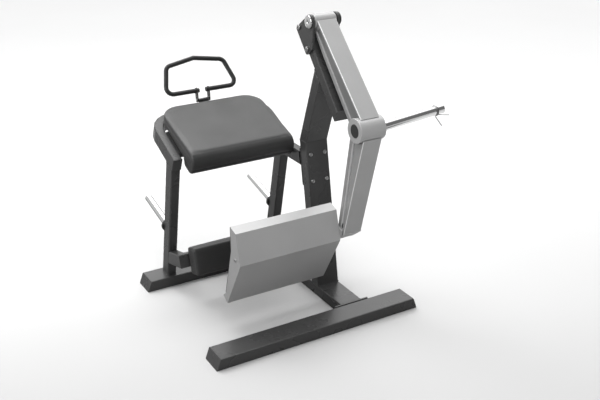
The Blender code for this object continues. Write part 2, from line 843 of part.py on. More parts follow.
# Storage horns on the legs' backs
horn_axis = turn(leg_lean)
horn_up = turn(leg_lean + 90)
leg_back_point = leg_foot + leg_back * (tube_height / 2 + seat_gap)
horn_start = leg_back_point + leg_axis * ((store_horn_height - leg_back_point.z)
                                          / leg_axis.z)
horn_circle = circle_section(store_horn_radius, 24)
washer_circles = (circle_section(store_washer_radius, 24),
                  circle_section(store_horn_radius + bolt_clearance, 24))
for side, where in (("left", -1), ("right", 1)):
    base = horn_start + X * (seat_x + where * side_x - horn_start.x)
    horn = prism("storage_horn_" + side,
                 ring(base, horn_axis, X, horn_up, horn_circle, leg_back),
                 ring(base + horn_axis * store_horn_length, horn_axis, X, horn_up,
                      horn_circle), "chrome")
    soften(horn, 0.0012)
    tube("storage_washer_" + side,
         rings(base, horn_axis, X, horn_up, washer_circles, leg_back),
         rings(base + horn_axis * store_washer_length, horn_axis, X, horn_up,
               washer_circles), "black")

# Shin bracket: a U of box tube held out in front of the legs
shin_out = turn(180 - shin_tilt)
shin_up = turn(90 - shin_tilt)
shin_face = Vector((seat_x, shin_front_y, shin_height))
shin_line = shin_face - shin_out * (tube_width / 2)
leg_front = leg_foot - leg_back * (tube_height / 2 + seat_gap)
shin_arm = (leg_front - shin_line).dot(leg_back) / shin_out.dot(leg_back)
shin_root = shin_line + shin_out * shin_arm
shin_path = [shin_root - X * side_x, shin_line - X * side_x, shin_line + X * side_x,
             shin_root + X * side_x]
swept("shin_bracket", shin_path, seat_sections, shin_up, "frame", leg_back, leg_back)


# Cushions: a row of rings, each one the cushion's side view at one place across
def cushion(name, rows, finish="upholstery"):
    bm = bmesh.new()
    loops = [[bm.verts.new(p) for p in row] for row in rows]
    size = len(loops[0])
    for a, b in zip(loops, loops[1:]):
        for k in range(size):
            bm.faces.new((a[k], a[(k + 1) % size], b[(k + 1) % size], b[k]))
    for loop in (loops[0], loops[-1]):
        bm.faces.new(loop)
    return settle(add(name, mesh_from(bm, name), finish, frame_empty, 60))


def smooth_loop(corners, steps):
    """A closed outline through rounded corners given as (place, radius)."""
    points = []
    count = len(corners)
    for i in range(count):
        before, at, after = corners[i - 1][0], corners[i][0], corners[(i + 1) % count][0]
        bend_path = rounded_path([before, at, after], (corners[i][1],), steps)
        points += bend_path[1:-1]
    return points


def across_stations(half, corner, steps=6, middle=6):
    """Places across a cushion, closer together where its corners turn."""
    side = [corner * (1 - math.sin(math.pi / 2 * s / steps)) for s in range(steps + 1)]
    left = [-half + away for away in reversed(side)]
    inner = half - corner
    fill = [-inner + 2 * inner * s / middle for s in range(1, middle)]
    return left + fill + [-x for x in reversed(left)]


def rolled(away, edge):
    """How far a rolled edge has dropped, this far in from the side."""
    short = max(0.0, edge - away)
    return edge - math.sqrt(max(0.0, edge ** 2 - short ** 2))


# Torso pad: a sloped cushion whose thick nose hangs over in front of the frame
torso_half = torso_pad_width / 2
torso_base = torso_board + 2 * seat_gap
torso_rows = []
for x in across_stations(torso_half, torso_pad_corner, 8, 2):
    pull = rolled(torso_half - abs(x), torso_pad_edge)
    off = max(0.0, abs(x) - (torso_half - torso_pad_corner)) / torso_pad_corner
    back = torso_pad_back - torso_pad_corner * (1 - math.sqrt(max(0.0, 1 - off ** 2)))
    fall = (torso_pad_front_top - torso_pad_back_top) / (torso_pad_back + torso_pad_nose)
    back_top = torso_pad_back_top + fall * (torso_pad_back - back)
    side = [
        (back, torso_base, torso_pad_hem), (back, back_top - pull, torso_pad_edge),
        (-torso_pad_nose, torso_pad_front_top - pull, torso_nose_radius),
        (-torso_nose_foot, -torso_nose_drop + pull, torso_nose_foot_radius),
        (-torso_nose_heel, -torso_nose_drop + pull, torso_pad_edge),
        (seat_gap + torso_pad_hem, torso_base, torso_pad_hem),
    ]
    corners = [(seat_front + slope * v + slope_up * w + X * x, r) for v, w, r in side]
    torso_rows.append(smooth_loop(corners, 5))
cushion("torso_pad", torso_rows)
board_half = torso_half - torso_board_inset
board_corner = torso_pad_corner - torso_board_inset
board_depth = seat_depth - handle_plate_grip - torso_board_clearance
board_outline = [(-board_half, torso_board_inset), (board_half, torso_board_inset),
                 (board_half, board_depth), (-board_half, board_depth)]
board_places = [seat_front + X * x + slope * v + slope_up * seat_gap
                for x, v in board_outline]
board_radii = (torso_board_corner, torso_board_corner, board_corner, board_corner)
board_ring = smooth_loop(list(zip(board_places, board_radii)), 5)
prism("torso_board", board_ring, [p + slope_up * torso_board for p in board_ring], "board")

# Pad support: a channel welded between the seat frame's arms, carrying the board
inside = side_x - tube_width / 2 - seat_gap
support_section = [(-pad_support_width / 2, -pad_support_lip),
                   (-pad_support_width / 2, 0.0),
                   (pad_support_width / 2, 0.0), (pad_support_width / 2, -pad_support_lip),
                   (pad_support_width / 2 - pad_support_thickness, -pad_support_lip),
                   (pad_support_width / 2 - pad_support_thickness, -pad_support_thickness),
                   (-pad_support_width / 2 + pad_support_thickness, -pad_support_thickness),
                   (-pad_support_width / 2 + pad_support_thickness, -pad_support_lip)]
support_middle = seat_front + slope * (pad_support_start + pad_support_width / 2)
support_ring = [support_middle + slope * v + slope_up * w for v, w in support_section]
prism("pad_support", [p - X * inside for p in support_ring],
      [p + X * inside for p in support_ring], "frame")

# Shin pad on its board, in front of the shin bracket
shin_base = shin_face + shin_out * seat_gap
block("shin_board", shin_base + shin_out * (shin_board / 2), (X, shin_out, shin_up),
      (shin_pad_width - 2 * shin_board_inset, shin_board,
       shin_pad_height - 2 * shin_board_inset), "board")
shin_half = shin_pad_width / 2
shin_rows = []
for x in across_stations(shin_half, shin_pad_edge, 5, 6):
    pull = rolled(shin_half - abs(x), shin_pad_edge)
    far = shin_board + shin_pad_thickness - pull
    near = shin_board + 2 * seat_gap + 0.3 * pull
    tall = shin_pad_height / 2 - 0.6 * pull
    side = [(near, -tall, shin_pad_hem), (near, tall, shin_pad_hem),
            (far, tall, shin_pad_edge), (far, -tall, shin_pad_edge)]
    corners = [(shin_base + shin_out * o + shin_up * u + X * x, r) for o, u, r in side]
    shin_rows.append(smooth_loop(corners, 4))
cushion("shin_pad", shin_rows)

# Handle plate and cross bar behind the seat frame
bar_along = seat_depth + cross_bar_out
plate_start = slope * (seat_depth - handle_plate_grip)
plate_stop = slope * (bar_along + cross_bar_radius + handle_plate_overhang)
plate_centre = seat_front + (plate_start + plate_stop) / 2
plate_centre += slope_up * (seat_gap + handle_plate_thickness / 2)
block("handle_plate", plate_centre, (X, slope, slope_up),
      (handle_plate_width, (plate_stop - plate_start).length, handle_plate_thickness),
      "frame", bevel=0.0008)
bar_middle = seat_front + slope * bar_along
bar_middle += slope_up * (handle_plate_thickness + 2 * seat_gap + cross_bar_radius)

# Handle: a five-sided bent tube on two lugs above the cross bar
handle_up = turn(handle_tilt)
lug_axis = turn(lug_rise)
handle_foot = bar_middle + lug_axis * lug_length
top = handle_foot + handle_up * handle_rise
handle_corners = [handle_foot - X * handle_end, handle_foot - X * handle_half_base,
                  top - X * handle_half_top, top + handle_up * handle_peak,
                  top + X * handle_half_top, handle_foot + X * handle_half_base,
                  handle_foot + X * handle_end]
handle_path = rounded_path(handle_corners, (handle_bend, handle_bend, handle_bend / 3,
                                            handle_bend, handle_bend), 6)
curve_tube("handle", handle_path, handle_tube_radius, "handle", sides=3)

# Cross bar and lugs
bar_half = lug_spread + lug_thickness / 2 + cross_bar_end
turned("handle_cross_bar", rod_profile(cross_bar_radius, -bar_half, bar_half, 0.0008),
       bar_middle, X, "steel", steps=20)
lug_foot = yz(bar_middle.y, bar_middle.z)
lug_head = yz(handle_foot.y, handle_foot.z)
for side, where in (("left", -1), ("right", 1)):
    outline = arc(lug_head, lug_half_width, lug_rise - 80, lug_rise + 80, 6)
    outline += arc(lug_foot, lug_foot_half_width, lug_rise + 100, lug_rise + 260, 6)
    x = seat_x + where * lug_spread
    lug = slab("handle_lug_" + side, outline, x - lug_thickness / 2,
               x + lug_thickness / 2, "frame")
    for centre, radius in ((lug_head, handle_tube_radius), (lug_foot, cross_bar_radius)):
        bore(lug, centre + X * (x - lug_thickness), X, radius + seat_gap,
             2 * lug_thickness, 24)


# Swing arm: everything below hangs on the pivot
pivot_empty.location = pivot
arm_down = turn(180 + upper_arm_angle)
arm_front = turn(180 + upper_arm_angle - 90)
elbow = pivot + arm_down * upper_arm_length
barrel_half = mast_width / 2 - barrel_inset
turned("pivot_barrel",
       ring_profile(barrel_radius, pivot_shaft_radius + running_radial, -barrel_half,
                    barrel_half, turned_edge), pivot, X, "silver", pivot_empty, 32)


def arm_sections(half_depth):
    """Outer and inner sections of an arm: small front corners, wide back ones."""
    outer = rounded_section(arm_width, half_depth, half_depth, arm_corner,
                            arm_back_corner)
    inside = half_depth - arm_wall
    inner = rounded_section(arm_width - 2 * arm_wall, inside, inside,
                            arm_inner_corner, arm_inner_corner)
    return outer, inner


def back_line(at):
    """Depth of the upper arm behind its axis line: steep to the knee, then gentle."""
    if at < upper_arm_knee:
        return upper_arm_top + (upper_arm_root - upper_arm_top) * at / upper_arm_knee
    part = (at - upper_arm_knee) / (upper_arm_length - upper_arm_knee)
    return upper_arm_root + (upper_arm_back - upper_arm_root) * part


top_front = barrel_radius - arm_face_inset
elbow_front = sleeve_radius - arm_face_inset
arm_start = math.sqrt((barrel_radius + seat_gap) ** 2 - top_front ** 2) + seat_gap
saddle = math.sqrt((sleeve_radius + seat_gap) ** 2 - elbow_front ** 2) + seat_gap
arm_stop = upper_arm_length - saddle
upper_rows = [[], []]
for at in (arm_start, upper_arm_knee, arm_stop):
    front = top_front + (elbow_front - top_front) * at / upper_arm_length
    back = back_line(at)
    middle = pivot + arm_down * at + arm_front * (front - back) / 2
    pair = rings(middle, arm_down, X, arm_front, arm_sections((front + back) / 2))
    upper_rows[0].append(pair[0])
    upper_rows[1].append(pair[1])
upper_arm = shell("upper_arm", upper_rows, "silver", pivot_empty)
wide = arm_width + 2 * drill_overrun
bore(upper_arm, pivot - X * wide / 2, X, barrel_radius + seat_gap, wide, 32)
bore(upper_arm, elbow - X * wide / 2, X, sleeve_radius + seat_gap, wide, 40)

# Elbow sleeve: a thick pipe across the arm, blind on its load horn side
half = sleeve_length / 2
sleeve_profile = [(0, half), (sleeve_radius - sleeve_rim, half),
                  (sleeve_radius - sleeve_rim * 0.3, half - sleeve_rim * 0.3),
                  (sleeve_radius, half - sleeve_rim), (sleeve_radius, -half + turned_edge),
                  (sleeve_radius - turned_edge, -half), (sleeve_bore, -half),
                  (sleeve_bore, half - sleeve_floor), (0, half - sleeve_floor)]
turned("elbow_sleeve", sleeve_profile, elbow, X, "silver", pivot_empty, 40)
turned("sleeve_cap", [(0, 0.001), (sleeve_bore - seat_gap - 0.0015, 0.001),
                      (sleeve_bore - seat_gap, -0.0005),
                      (sleeve_bore - seat_gap, -sleeve_cap_depth), (0, -sleeve_cap_depth)],
       elbow - X * half, -X, "black", pivot_empty, 40)

# Lower arm: tapers from the sleeve to a slanted end that is closed by a cap
lower_down = turn(270 + lower_arm_lean)
lower_front = turn(180 + lower_arm_lean)
lower_arm_front = sleeve_radius - arm_face_inset
lower_start = math.sqrt((sleeve_radius + seat_gap) ** 2 - lower_arm_front ** 2) + seat_gap
lower_depth = lower_arm_front + lower_arm_back
slant_normal = turn(270 + lower_arm_lean - lower_end_slant)
end_at = lower_arm_length + lower_arm_end_depth / 2 * math.tan(math.radians(lower_end_slant))


def lower_ring(at, depth, normal=None):
    middle = elbow + lower_down * at + lower_front * (lower_arm_front - depth / 2)
    return rings(middle, lower_down, X, lower_front, arm_sections(depth / 2), normal)


first = lower_ring(lower_start, lower_depth)
last = lower_ring(end_at, lower_arm_end_depth, slant_normal)
lower_arm = shell("lower_arm", [[a, b] for a, b in zip(first, last)], "silver", pivot_empty)
bore(lower_arm, elbow - X * wide / 2, X, sleeve_radius + seat_gap, wide, 40)
cap_base = [p + slant_normal * seat_gap for p in last[0]]
cap_top = [p + slant_normal * (seat_gap + arm_cap_thickness) for p in last[0]]
prism("lower_arm_cap", cap_base, cap_top, "silver", pivot_empty)

# Load horn on the sleeve's blind end, with its washer
rise = math.radians(load_horn_rise)
load_axis = Vector((math.cos(rise), 0, math.sin(rise)))
load_up = Vector((-math.sin(rise), 0, math.cos(rise)))
horn_root = elbow + X * (half + seat_gap) - Z * load_horn_drop
load_circle = circle_section(load_horn_radius, 28)
horn_tip = horn_root + load_axis * load_horn_length
load_horn = prism("load_horn", ring(horn_root, load_axis, Y, load_up, load_circle, X),
                  ring(horn_tip, load_axis, Y, load_up, load_circle), "chrome", pivot_empty)
soften(load_horn, 0.0015)
load_washer = (circle_section(horn_washer_radius, 28),
               circle_section(load_horn_radius + bolt_clearance, 28))
tube("load_horn_washer", rings(horn_root, load_axis, Y, load_up, load_washer, X),
     rings(horn_root + load_axis * horn_washer_length, load_axis, Y, load_up, load_washer),
     "black", pivot_empty)

# Spring clip: two turns of wire round the load horn and two finger prongs
clip_middle = horn_tip - load_axis * clip_from_tip
clip_empty.location = clip_middle - pivot
clip_radius = load_horn_radius + clip_grip_gap + clip_wire
clip_pitch = 2 * clip_wire + 0.0006
clip_points = []


def round_horn(angle, radius):
    a = math.radians(angle)
    return -Y * (radius * math.cos(a)) + load_up * (radius * math.sin(a))


start_angle, stop_angle = -75, -35 + 360 * clip_turns
steps = 24 * clip_turns
for step in range(steps + 1):
    angle = start_angle + (stop_angle - start_angle) * step / steps
    along = (step / steps - 0.5) * clip_pitch * (stop_angle - start_angle) / 360
    clip_points.append(clip_middle + load_axis * along + round_horn(angle, clip_radius))
low_way = (load_axis * 0.35 + round_horn(-60, 1.0)).normalized()
high_way = (load_axis * 0.35 + round_horn(10, 1.0)).normalized()
low_root = clip_points[0] + round_horn(start_angle, clip_wire * 1.2)
high_root = clip_points[-1] + round_horn(stop_angle, clip_wire * 1.2)
clip_path = [low_root - load_axis * clip_wire + low_way * clip_prong,
             low_root - load_axis * clip_wire + low_way * clip_wire * 2]
clip_path += clip_points
clip_path += [high_root + high_way * clip_wire * 2, high_root + high_way * clip_prong]
curve_tube("spring_clip", clip_path, clip_wire, "steel", clip_empty, 1)

# Kick plate: a bent sheet box, its tread facing the user's foot
bend_point = elbow + lower_down * kick_bend_down + lower_front * kick_bend_front
top_front_edge = bend_point + turn(90 - kick_top_lean) * kick_top_rise
top_back_edge = top_front_edge + turn(kick_flange_rise) * kick_top_flange
low_front_edge = bend_point + turn(270 + kick_low_lean) * kick_low_drop
low_back_edge = low_front_edge + turn(kick_low_lean) * kick_low_flange
tread_bend = top_back_edge - Z * kick_tread_drop
tread_foot = tread_bend + turn(270 + lower_arm_lean) * kick_tread_slope
outline = [top_back_edge, top_front_edge, bend_point, low_front_edge, low_back_edge,
           tread_foot, tread_bend]
kick = slab("kick_plate", outline, kick_left, kick_right, "silver", pivot_empty)


def offset_path(points, distance):
    """A side-view path moved sideways, its corners kept sharp."""
    ways = [(b - a).normalized() for a, b in zip(points, points[1:])]
    outs = [X.cross(way) for way in ways]
    moved = [points[0] + outs[0] * distance]
    for point, a, b in zip(points[1:], outs, outs[1:]):
        corner = (a + b).normalized()
        moved.append(point + corner * (distance / corner.dot(a)))
    return moved + [points[-1] + outs[-1] * distance]


# The box's inside is cut out, leaving a bent sheet with two side walls
bent = [top_back_edge + (top_back_edge - top_front_edge).normalized() * 0.05,
        top_front_edge, bend_point, low_front_edge,
        low_back_edge + (low_back_edge - low_front_edge).normalized() * 0.05]
hollow_path = offset_path(bent, -kick_sheet)
if hollow_path[2].y < bend_point.y:
    hollow_path = offset_path(bent, kick_sheet)
hollow_path.append(tread_bend + Y * 0.3)
bm = loft_solid([Vector((kick_left + kick_sheet, p.y, p.z)) for p in hollow_path],
                [Vector((kick_right - kick_sheet, p.y, p.z)) for p in hollow_path])
cutter(kick, mesh_from(bm, "kick_plate_inside"))

# Tread: a bent plate laid on the back edges of the box's side walls
upper_way = (tread_bend - top_back_edge).normalized()
lower_way = (tread_foot - tread_bend).normalized()
upper_out = X.cross(upper_way)
lower_out = X.cross(lower_way)
if upper_out.y < 0:
    upper_out, lower_out = -upper_out, -lower_out
bend_out = (upper_out + lower_out).normalized()
stretch = 1 / bend_out.dot(upper_out)
tread_outline = []
for lift in (tread_lift, tread_lift + kick_tread_thickness):
    row = [top_back_edge + upper_way * (kick_sheet + tread_lift) + upper_out * lift,
           tread_bend + bend_out * (lift * stretch),
           tread_foot + lower_out * lift]
    tread_outline += row if lift == tread_lift else row[::-1]
slab("kick_tread", tread_outline, kick_left, kick_right, "black", pivot_empty)

# Mount plate between the kick plate's right wall and the arm's left side
arm_left = mast_x - arm_width / 2
mount_thick = arm_left - kick_right - 2 * seat_gap
mount_middle = elbow + lower_down * kick_mount_down + lower_front * kick_mount_front
mount_middle.x = kick_right + seat_gap + mount_thick / 2
block("kick_plate_mount", mount_middle, (X, lower_down, lower_front),
      (mount_thick, kick_mount_height, kick_mount_depth), "silver", pivot_empty, 0.001)

# Bolt on the kick plate's left side
kick_seat = bend_point + Y * kick_bolt_behind + Z * kick_bolt_above
kick_seat.x = kick_left
round_bolt("kick_bolt", kick_seat, -X, kick_bolt_head, kick_bolt_shank,
           kick_bolt_grip, "steel", pivot_empty)
bore(kick, kick_seat - X * drill_overrun, X, kick_bolt_shank + bolt_clearance,
     2 * drill_overrun, 20)

# Stop bumper: reaches from the head tube's front to the resting arm's back
back_far = pivot + arm_down * upper_arm_length - arm_front * upper_arm_back
back_knee = pivot + arm_down * upper_arm_knee - arm_front * upper_arm_root
back_way = (back_far - back_knee).normalized()
back_out = X.cross(back_way)
bumper_reach = (back_knee - bumper_seat).dot(back_out) / head_front.dot(back_out)
tilted = abs(back_way.dot(head_front)) * bumper_radius
bumper_top = bumper_reach - tilted - seat_gap
turned("stop_bumper", [(0, bumper_top), (bumper_radius - bumper_edge, bumper_top),
                       (bumper_radius, bumper_top - bumper_edge), (bumper_radius, 0),
                       (0, 0)],
       bumper_seat, head_front, "rubber", steps=24)


# The whole machine is moved so that the origin is under the middle of its box
bpy.context.view_layer.update()
graph = bpy.context.evaluated_depsgraph_get()
low = Vector((1e9, 1e9, 1e9))
high = -low
for item in machine.objects:
    if item.type != "MESH":
        continue
    shown = item.evaluated_get(graph)
    for vert in shown.data.vertices:
        place = shown.matrix_world @ vert.co
        low = Vector(map(min, low, place))
        high = Vector(map(max, high, place))
frame_empty.location = Vector((-(low.x + high.x) / 2, -(low.y + high.y) / 2, -low.z))
bpy.context.view_layer.update()
size = high - low
print("size %.4f %.4f %.4f" % tuple(size))
print("moved by %.5f %.5f %.5f" % tuple(frame_empty.location))
print("pivot at %.5f %.5f %.5f" % tuple(pivot_empty.matrix_world.translation))
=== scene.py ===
"""Looks for the plate-loaded glute machine: materials, cushions, trim, floor and light."""
import json
import math

import bmesh
import bpy
from mathutils import Matrix, Vector
from mathutils.bvhtree import BVHTree
from mathutils.geometry import convex_hull_2d


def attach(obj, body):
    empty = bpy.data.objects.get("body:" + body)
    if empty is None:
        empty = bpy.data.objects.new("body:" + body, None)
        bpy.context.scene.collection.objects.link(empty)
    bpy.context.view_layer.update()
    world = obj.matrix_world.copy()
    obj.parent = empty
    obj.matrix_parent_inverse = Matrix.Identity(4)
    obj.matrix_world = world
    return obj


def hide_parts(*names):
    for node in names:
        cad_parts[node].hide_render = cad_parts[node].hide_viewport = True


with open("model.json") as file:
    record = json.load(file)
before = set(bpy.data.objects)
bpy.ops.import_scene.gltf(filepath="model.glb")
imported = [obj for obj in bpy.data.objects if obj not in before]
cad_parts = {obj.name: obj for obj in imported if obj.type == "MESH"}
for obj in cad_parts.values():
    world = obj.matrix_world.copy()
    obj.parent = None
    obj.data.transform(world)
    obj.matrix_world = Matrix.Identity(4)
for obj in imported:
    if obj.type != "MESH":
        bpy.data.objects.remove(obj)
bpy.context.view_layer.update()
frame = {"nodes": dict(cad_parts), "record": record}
scene = bpy.context.scene
scene.view_settings.view_transform = "Standard"
nodes = frame["nodes"]

X = Vector((1, 0, 0))
Y = Vector((0, 1, 0))
Z = Vector((0, 0, 1))

# Camera at the photograph's viewpoint, its angles in degrees
camera_tilt_down = 23.8806
camera_turn_right = 30.3727
camera_data = bpy.data.cameras.new("camera")
camera_data.sensor_width = 36.0
camera_data.lens = 54.19
camera_data.clip_end = 60
camera = bpy.data.objects.new("camera", camera_data)
scene.collection.objects.link(camera)
camera.location = (-2.16428, -3.95611, 2.52672)
camera.rotation_euler = (math.radians(90 - camera_tilt_down), 0,
                         math.radians(-camera_turn_right))
scene.camera = camera

# Sockets of the Mix node when it mixes colours
mix_factor = 0
mix_first = 6
mix_second = 7
mix_result = 2


# Shader nodes behind ordinary arithmetic
class Tree:
    """A material with its Principled shader and the nodes that feed it."""

    def __init__(self, name):
        self.material = bpy.data.materials.new(name)
        self.material.use_nodes = True
        self.tree = self.material.node_tree
        self.shader = self.tree.nodes["Principled BSDF"]

    def node(self, kind, output=0, inputs=None, **settings):
        """Any node: its settings by name, its inputs by number or name."""
        made = self.tree.nodes.new(kind)
        for key, value in settings.items():
            setattr(made, key, value)
        for key, value in (inputs or {}).items():
            self.put(made.inputs[key], value)
        return Wire(self, made.outputs[output])

    def put(self, socket, value):
        if isinstance(value, Wire):
            self.tree.links.new(value.socket, socket)
        else:
            socket.default_value = value

    def set(self, **values):
        for key, value in values.items():
            self.put(self.shader.inputs[key.replace("_", " ")], value)

    def place(self, scale=1.0):
        """The place on the object, in metres times a scale."""
        return self.node("ShaderNodeTexCoord", "Object").scaled(scale)

    def noise(self, at, scale, detail=3.0, output=0):
        return self.node("ShaderNodeTexNoise", output,
                         {"Vector": at, "Scale": scale, "Detail": detail})

    def cells(self, at, scale, feature="F1"):
        return self.node("ShaderNodeTexVoronoi", "Distance", {"Vector": at, "Scale": scale},
                         feature=feature)

    def mix(self, factor, first, second):
        made = self.tree.nodes.new("ShaderNodeMix")
        made.data_type = "RGBA"
        self.put(made.inputs[mix_factor], factor)
        self.put(made.inputs[mix_first], first)
        self.put(made.inputs[mix_second], second)
        return Wire(self, made.outputs[mix_result])

    def ramp(self, value, low, high, to_low=0.0, to_high=1.0):
        return self.node("ShaderNodeMapRange", 0,
                         {0: value, 1: low, 2: high, 3: to_low, 4: to_high})

    def bump(self, height, strength, distance):
        return self.node("ShaderNodeBump", 0,
                         {"Strength": strength, "Distance": distance, "Height": height})

    def face_tone(self, name):
        """A number that each face of a mesh carries, or nought where it has none."""
        return self.node("ShaderNodeAttribute", "Fac", attribute_name=name)


class Wire:
    """A shader socket that takes part in sums."""

    def __init__(self, owner, socket):
        self.owner = owner
        self.socket = socket

    def math(self, operation, other):
        return self.owner.node("ShaderNodeMath", 0, {0: self, 1: other}, operation=operation)

    def __add__(self, other):
        return self.math("ADD", other)

    def __mul__(self, other):
        return self.math("MULTIPLY", other)

    __radd__ = __add__
    __rmul__ = __mul__

    def scaled(self, factor):
        values = factor if isinstance(factor, tuple) else (factor,) * 3
        return self.owner.node("ShaderNodeVectorMath", "Vector", {0: self, 1: values},
                               operation="MULTIPLY")


def grey(level):
    return (level, level, level, 1.0)


# Materials, their noise in cells a metre and their bump heights in metres
def powder_coat(name, level, metallic, roughness, grain, speck):
    """Sprayed powder coat: fine orange peel, faint specks and uneven gloss, with painted shade
    and painted highlights on faces that carry face numbers.
    """
    t = Tree(name)
    at = t.place()
    peel = t.noise(at, 900.0, 2.0)
    soft = t.noise(at, 260.0, 2.0)
    specks = t.noise(at, 1800.0, 1.0)
    cloud = t.noise(at, 5.0, 3.0)
    shade = t.ramp(specks, 0.35, 0.65, -speck, speck) + t.ramp(cloud, 0.3, 0.7, -0.03, 0.03)
    colour = t.mix(shade + 0.5, grey(level * 0.5), grey(level * 1.5))
    # Painted shade: faces that carry the first face number turn darker.
    colour = t.mix(t.face_tone("painted_shade"), colour, grey(level * 0.45))
    # Painted highlight: faces that carry the second face number turn lighter, in bright lines
    # along the arms' front corners.
    colour = t.mix(t.face_tone("painted_highlight"), colour, grey(min(1.0, level * 1.9)))
    gloss = t.ramp(cloud, 0.3, 0.7, roughness - 0.03, roughness + 0.04)
    t.set(Base_Color=colour, Metallic=metallic, Roughness=gloss,
          Normal=t.bump(peel + soft * 0.8, grain, 0.0006))
    return t.material


def polished(name, level, roughness):
    """Chrome with faint wiping marks."""
    t = Tree(name)
    wipes = t.noise(t.place((40.0, 220.0, 220.0)), 1.0, 3.0)
    cloud = t.noise(t.place(), 18.0, 2.0)
    t.set(Base_Color=t.mix(cloud, grey(level * 0.96), grey(level)), Metallic=1.0,
          Roughness=t.ramp(wipes, 0.4, 0.75, roughness, roughness + 0.05),
          Normal=t.bump(wipes, 0.02, 0.0003))
    return t.material


def zinc(name, level):
    """Plated steel with turning marks."""
    t = Tree(name)
    turned = t.noise(t.place((900.0, 900.0, 120.0)), 1.0, 2.0)
    cloud = t.noise(t.place(), 60.0, 2.0)
    t.set(Base_Color=t.mix(cloud, grey(level * 0.8), grey(level * 1.15)), Metallic=1.0,
          Roughness=t.ramp(turned, 0.3, 0.7, 0.22, 0.40), Normal=t.bump(turned, 0.1, 0.0003))
    return t.material


def moulded(name, level, roughness, grain, scale):
    """Moulded plastic or rubber with a pebbled skin; scale is its pebbles a metre."""
    t = Tree(name)
    at = t.place()
    pebbles = t.cells(at, scale)
    cloud = t.noise(at, 30.0, 2.0)
    t.set(Base_Color=t.mix(cloud, grey(level * 0.8), grey(level * 1.3)),
          Roughness=t.ramp(cloud, 0.3, 0.7, roughness - 0.05, roughness + 0.08),
          Normal=t.bump(pebbles, grain, 0.0005))
    return t.material


def leather(name, level):
    """Synthetic leather: pebbled grain with pressed-in creases darkened by painted shade, and
    a fine tooth.
    """
    t = Tree(name)
    at = t.place()
    warped = t.noise(at, 60.0, 2.0, output=1)
    bent = t.node("ShaderNodeVectorMath", "Vector", {0: at, 1: warped.scaled(0.004)},
                  operation="ADD")
    pebbles = t.cells(bent, 420.0, "SMOOTH_F1")
    creases = t.cells(bent, 420.0, "DISTANCE_TO_EDGE")
    fine = t.noise(at, 1500.0, 2.0)
    cloud = t.noise(at, 7.0, 3.0)
    groove = t.ramp(creases, 0.0, 0.12)
    shade = t.ramp(cloud, 0.3, 0.7, 0.35, 0.65)
    colour = t.mix(shade, grey(level * 0.75), grey(level * 1.25))
    # Painted shade darkens the creases.
    colour = t.mix(groove, grey(level * 0.6), colour)
    height = groove * 0.7 + pebbles * -0.5 + fine * 0.25
    t.set(Base_Color=colour, Roughness=t.ramp(cloud, 0.3, 0.7, 0.40, 0.52),
          Normal=t.bump(height, 0.35, 0.0006))
    t.set(Specular_IOR_Level=0.5, Sheen_Weight=0.05)
    return t.material


def painted_board(name):
    """Dark stained board with streaks."""
    t = Tree(name)
    rings = t.noise(t.place((6.0, 6.0, 300.0)), 3.0, 4.0)
    t.set(Base_Color=t.mix(rings, grey(0.018), grey(0.045)), Roughness=0.65,
          Normal=t.bump(rings, 0.3, 0.0005))
    return t.material


looks = {
    "frame_paint": powder_coat("frame_paint", level=0.050, metallic=0.0, roughness=0.27,
                               grain=0.16, speck=0.10),
    "arm_paint": powder_coat("arm_paint", level=0.43, metallic=0.28, roughness=0.40,
                             grain=0.20, speck=0.05),
    "chrome": polished("chrome", level=0.86, roughness=0.07),
    "steel": zinc("steel", level=0.55),
    "black_plastic": moulded("black_plastic", level=0.022, roughness=0.5, grain=0.2,
                             scale=1400.0),
    "bumper_rubber": moulded("bumper_rubber", level=0.020, roughness=0.75, grain=0.3,
                             scale=900.0),
    "tread_rubber": moulded("tread_rubber", level=0.030, roughness=0.80, grain=0.5,
                            scale=500.0),
    "handle_finish": moulded("handle_finish", level=0.016, roughness=0.42, grain=0.15,
                             scale=1800.0),
    "upholstery": leather("upholstery", level=0.034),
    # The seam leather is a lighter copy of the upholstery: a painted highlight along the
    # piping.
    "upholstery_seam": leather("upholstery_seam", level=0.06),
    "board": painted_board("board"),
}
for entry in frame["record"]["subparts"]:
    item = nodes[entry["node"]]
    item.data.materials.clear()
    item.data.materials.append(looks[entry["material_slot"]])


# Objects and meshes of the scene's own, drawn where they stand
def mesh_from(name, bm):
    """A mesh with a bmesh's form; the bmesh is freed."""
    mesh = bpy.data.meshes.new(name)
    bm.to_mesh(mesh)
    bm.free()
    return mesh


def placed(name, data):
    """A new object at the origin, unturned."""
    item = bpy.data.objects.new(name, data)
    scene.collection.objects.link(item)
    return item


def copy_of(node, name, merge):
    """A new object with a CAD node's form, its points closer than merge joined."""
    source = nodes[node]
    bm = bmesh.new()
    bm.from_mesh(source.data)
    bm.transform(source.matrix_world)
    bmesh.ops.remove_doubles(bm, verts=bm.verts, dist=merge)
    return placed(name, mesh_from(name, bm))


def apply_modifiers(item):
    """Gives an object the mesh that its modifiers make, and drops them."""
    view = bpy.context.evaluated_depsgraph_get()
    made = bpy.data.meshes.new_from_object(item.evaluated_get(view))
    item.modifiers.clear()
    item.data = made


def piece(name, bm, look, body="frame", angle=35.0):
    """A finished piece from a bmesh; edges sharper than the angle stay sharp."""
    bmesh.ops.recalc_face_normals(bm, faces=bm.faces)
    mesh = mesh_from(name, bm)
    item = placed(name, mesh)
    mesh.materials.append(looks[look])
    mesh.shade_smooth()
    mesh.set_sharp_from_angle(angle=math.radians(angle))
    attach(item, body)
    return item


def join_loops(bm, loops, closed=False):
    """Skins a row of loops; its two ends meet, or each gets a cap."""
    following = loops[1:] + loops[:1] if closed else loops[1:]
    for a, b in zip(loops, following):
        for k in range(len(a)):
            after = (k + 1) % len(a)
            bm.faces.new((a[k], a[after], b[after], b[k]))
    if not closed:
        bm.faces.new(loops[0])
        bm.faces.new(reversed(loops[-1]))


